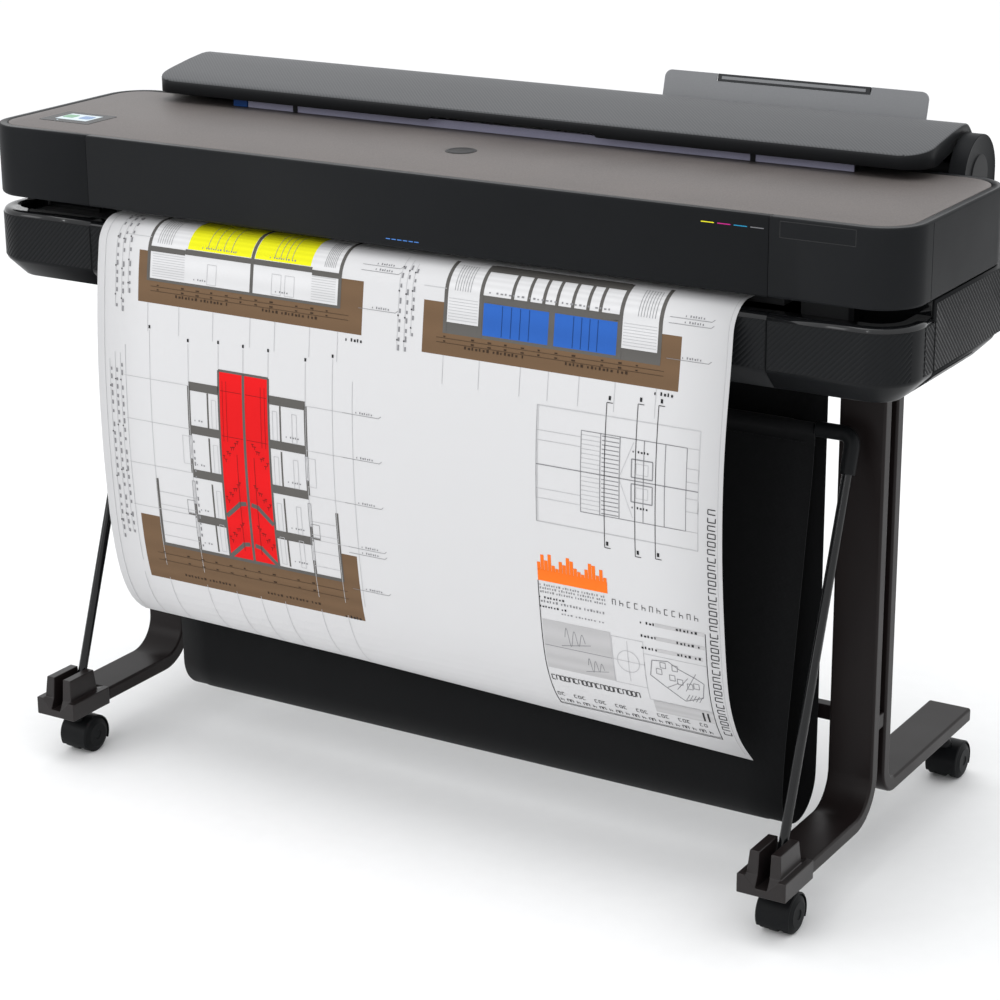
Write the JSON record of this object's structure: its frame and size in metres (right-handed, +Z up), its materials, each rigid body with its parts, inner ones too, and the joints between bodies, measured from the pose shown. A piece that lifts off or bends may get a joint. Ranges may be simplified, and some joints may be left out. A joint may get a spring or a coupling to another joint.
{
  "type": "large format plotter",
  "caption": "Wide roll-fed plotter on a wheeled T-foot stand, with a rear roll cover, sheet tray, front cloth catcher and a hanging print.",
  "frame": {"origin": "centre of the footprint, on the floor under the casters", "axes": "+Z up, front towards -Y, +X to the right as seen from the front"},
  "size_m": [1.317, 0.605, 0.932],
  "materials": {
    "casing_black": "fine satin moulded plastic",
    "casing_ribbed": "black plastic with fine slanting ribs",
    "top_taupe": "finely grained brown-grey plastic",
    "cover_grey": "dark grey plastic with fine slanting hatching",
    "screen_glass": "glossy black screen",
    "stand_metal": "dark brown satin metallic paint",
    "foot_plastic": "dark brown moulded plastic",
    "black_plastic": "black moulded plastic",
    "rod_black": "black satin paint on steel tube",
    "wheel_plastic": "black caster wheel",
    "catcher_cloth": "black woven nylon",
    "paper_white": "smooth matte coated paper",
    "flange_blue": "blue moulded plastic",
    "guide_lavender": "pale grey-violet plastic",
    "rail_steel": "ground steel",
    "motor_metal": "dark painted steel",
    "belt_rubber": "black toothed belt",
    "roller_rubber": "dark grey rubber coating",
    "board_green": "green board laminate",
    "pan_steel": "galvanised sheet steel",
    "inner_grey": "dark grey moulded plastic"
  },
  "bodies": {
    "frame": {"base_pan": "pan_steel", "carriage_motor": "motor_metal", "catcher_cloth": "catcher_cloth", "catcher_rear_bar": "rod_black", "cross_brace": "stand_metal", "drive_belt": "belt_rubber", "guide_rail": "rail_steel", "ink_cartridge_set": "inner_grey", "left_foot_cap": "foot_plastic", "left_front_leg": "stand_metal", "left_rear_leg": "stand_metal", "left_roll_bracket": "casing_black", "lower_front_cover": "casing_ribbed", "lower_left_cover": "casing_ribbed", "lower_right_cover": "casing_ribbed", "main_board": "board_green", "platen": "inner_grey", "power_inlet": "black_plastic", "printed_sheet": "paper_white", "rear_bridge": "casing_black", "rear_housing": "casing_ribbed", "right_foot_cap": "foot_plastic", "right_front_leg": "stand_metal", "right_rear_leg": "stand_metal", "right_roll_bracket": "casing_black", "service_station": "inner_grey", "top_plate": "top_taupe", "touch_screen": "screen_glass", "upper_left_cover": "casing_black", "upper_right_cover": "casing_black", "web_guide": "guide_lavender"},
    "front_cover": {"front_cover": "casing_black"},
    "ink_door": {"ink_door": "casing_ribbed"},
    "power_button": {"power_button": "black_plastic"},
    "roll_cover": {"roll_cover": "cover_grey"},
    "sheet_tray": {"sheet_tray": "cover_grey"},
    "tray_extension": {"tray_extension": "cover_grey"},
    "roll": {"roll_spindle": "inner_grey", "paper_roll": "paper_white", "left_roll_flange": "flange_blue", "right_roll_flange": "flange_blue"},
    "carriage": {"carriage": "inner_grey", "printhead": "inner_grey"},
    "motor_pulley": {"motor_pulley": "rail_steel"},
    "idler_pulley": {"idler_pulley": "rail_steel"},
    "feed_roller": {"feed_roller": "roller_rubber"},
    "pinch_roller": {"pinch_roller": "roller_rubber"},
    "catcher_frame": {"left_catcher_rod": "rod_black", "right_catcher_rod": "rod_black", "left_elbow": "black_plastic", "right_elbow": "black_plastic", "catcher_front_bar": "rod_black"},
    "front_left_caster": {"front_left_caster_hood": "black_plastic"},
    "front_left_wheels": {"front_left_caster_wheels": "wheel_plastic"},
    "front_right_caster": {"front_right_caster_hood": "black_plastic"},
    "front_right_wheels": {"front_right_caster_wheels": "wheel_plastic"},
    "rear_left_caster": {"rear_left_caster_hood": "black_plastic"},
    "rear_left_wheels": {"rear_left_caster_wheels": "wheel_plastic"},
    "rear_right_caster": {"rear_right_caster_hood": "black_plastic"},
    "rear_right_wheels": {"rear_right_caster_wheels": "wheel_plastic"}
  },
  "joints": [
    {"name": "front_cover_hinge", "type": "hinge", "parent": "frame", "child": "front_cover", "pos_m": [0, -0.222, 0.863], "axis": [-1, 0, 0], "range_deg": [0, 75]},
    {"name": "ink_door_hinge", "type": "hinge", "parent": "frame", "child": "ink_door", "pos_m": [-0.57, -0.186, 0.658], "axis": [1, 0, 0], "range_deg": [0, 60]},
    {"name": "power_button_press", "type": "slide", "parent": "frame", "child": "power_button", "axis": [0, -1, 0], "range_m": [0, 0.0015], "stiffness_N_per_m": 800, "springref_m": -0.0005},
    {"name": "roll_cover_hinge", "type": "hinge", "parent": "frame", "child": "roll_cover", "pos_m": [0, 0.19, 0.835], "axis": [-1, 0, 0], "range_deg": [0, 80]},
    {"name": "sheet_tray_fold", "type": "hinge", "parent": "roll_cover", "child": "sheet_tray", "pos_m": [0.306, 0.2015, 0.866], "axis": [1, 0, 0], "range_deg": [0, 45]},
    {"name": "tray_extension_pull", "type": "slide", "parent": "sheet_tray", "child": "tray_extension", "axis": [0, 0.2588, 0.9659], "range_m": [0, 0.036]},
    {"name": "roll_spin", "type": "hinge", "parent": "frame", "child": "roll", "pos_m": [0, 0.138, 0.852], "axis": [1, 0, 0], "continuous": true},
    {"name": "carriage_slide", "type": "slide", "parent": "frame", "child": "carriage", "axis": [-1, 0, 0], "range_m": [0, 0.98]},
    {"name": "motor_pulley_spin", "type": "hinge", "parent": "frame", "child": "motor_pulley", "pos_m": [0.615, -0.045, 0.842], "axis": [0, 0, 1], "continuous": true},
    {"name": "idler_pulley_spin", "type": "hinge", "parent": "frame", "child": "idler_pulley", "pos_m": [-0.615, -0.045, 0.842], "axis": [0, 0, 1], "continuous": true},
    {"name": "feed_roller_spin", "type": "hinge", "parent": "frame", "child": "feed_roller", "pos_m": [0, -0.02, 0.7478], "axis": [1, 0, 0], "continuous": true},
    {"name": "pinch_roller_spin", "type": "hinge", "parent": "frame", "child": "pinch_roller", "pos_m": [0, -0.02, 0.7674], "axis": [1, 0, 0], "continuous": true},
    {"name": "catcher_frame_tilt", "type": "hinge", "parent": "frame", "child": "catcher_frame", "pos_m": [0, -0.252, 0.086], "axis": [1, 0, 0], "range_deg": [0, 14]},
    {"name": "front_left_swivel", "type": "hinge", "parent": "frame", "child": "front_left_caster", "pos_m": [-0.534, -0.2585, 0], "axis": [0, 0, 1], "continuous": true},
    {"name": "front_left_wheel_spin", "type": "hinge", "parent": "front_left_caster", "child": "front_left_wheels", "pos_m": [-0.534, -0.2445, 0.0245], "axis": [1, 0, 0], "continuous": true},
    {"name": "front_right_swivel", "type": "hinge", "parent": "frame", "child": "front_right_caster", "pos_m": [0.534, -0.2585, 0], "axis": [0, 0, 1], "continuous": true},
    {"name": "front_right_wheel_spin", "type": "hinge", "parent": "front_right_caster", "child": "front_right_wheels", "pos_m": [0.534, -0.2445, 0.0245], "axis": [1, 0, 0], "continuous": true},
    {"name": "rear_left_swivel", "type": "hinge", "parent": "frame", "child": "rear_left_caster", "pos_m": [-0.534, 0.261, 0], "axis": [0, 0, 1], "continuous": true},
    {"name": "rear_left_wheel_spin", "type": "hinge", "parent": "rear_left_caster", "child": "rear_left_wheels", "pos_m": [-0.534, 0.275, 0.0245], "axis": [1, 0, 0], "continuous": true},
    {"name": "rear_right_swivel", "type": "hinge", "parent": "frame", "child": "rear_right_caster", "pos_m": [0.534, 0.261, 0], "axis": [0, 0, 1], "continuous": true},
    {"name": "rear_right_wheel_spin", "type": "hinge", "parent": "rear_right_caster", "child": "rear_right_wheels", "pos_m": [0.534, 0.275, 0.0245], "axis": [1, 0, 0], "continuous": true}
  ],
  "couplings": [
    {"joint": "motor_pulley_spin", "follows": "carriage_slide", "rad_per_m": 105.26},
    {"joint": "idler_pulley_spin", "follows": "carriage_slide", "rad_per_m": 105.26}
  ]
}
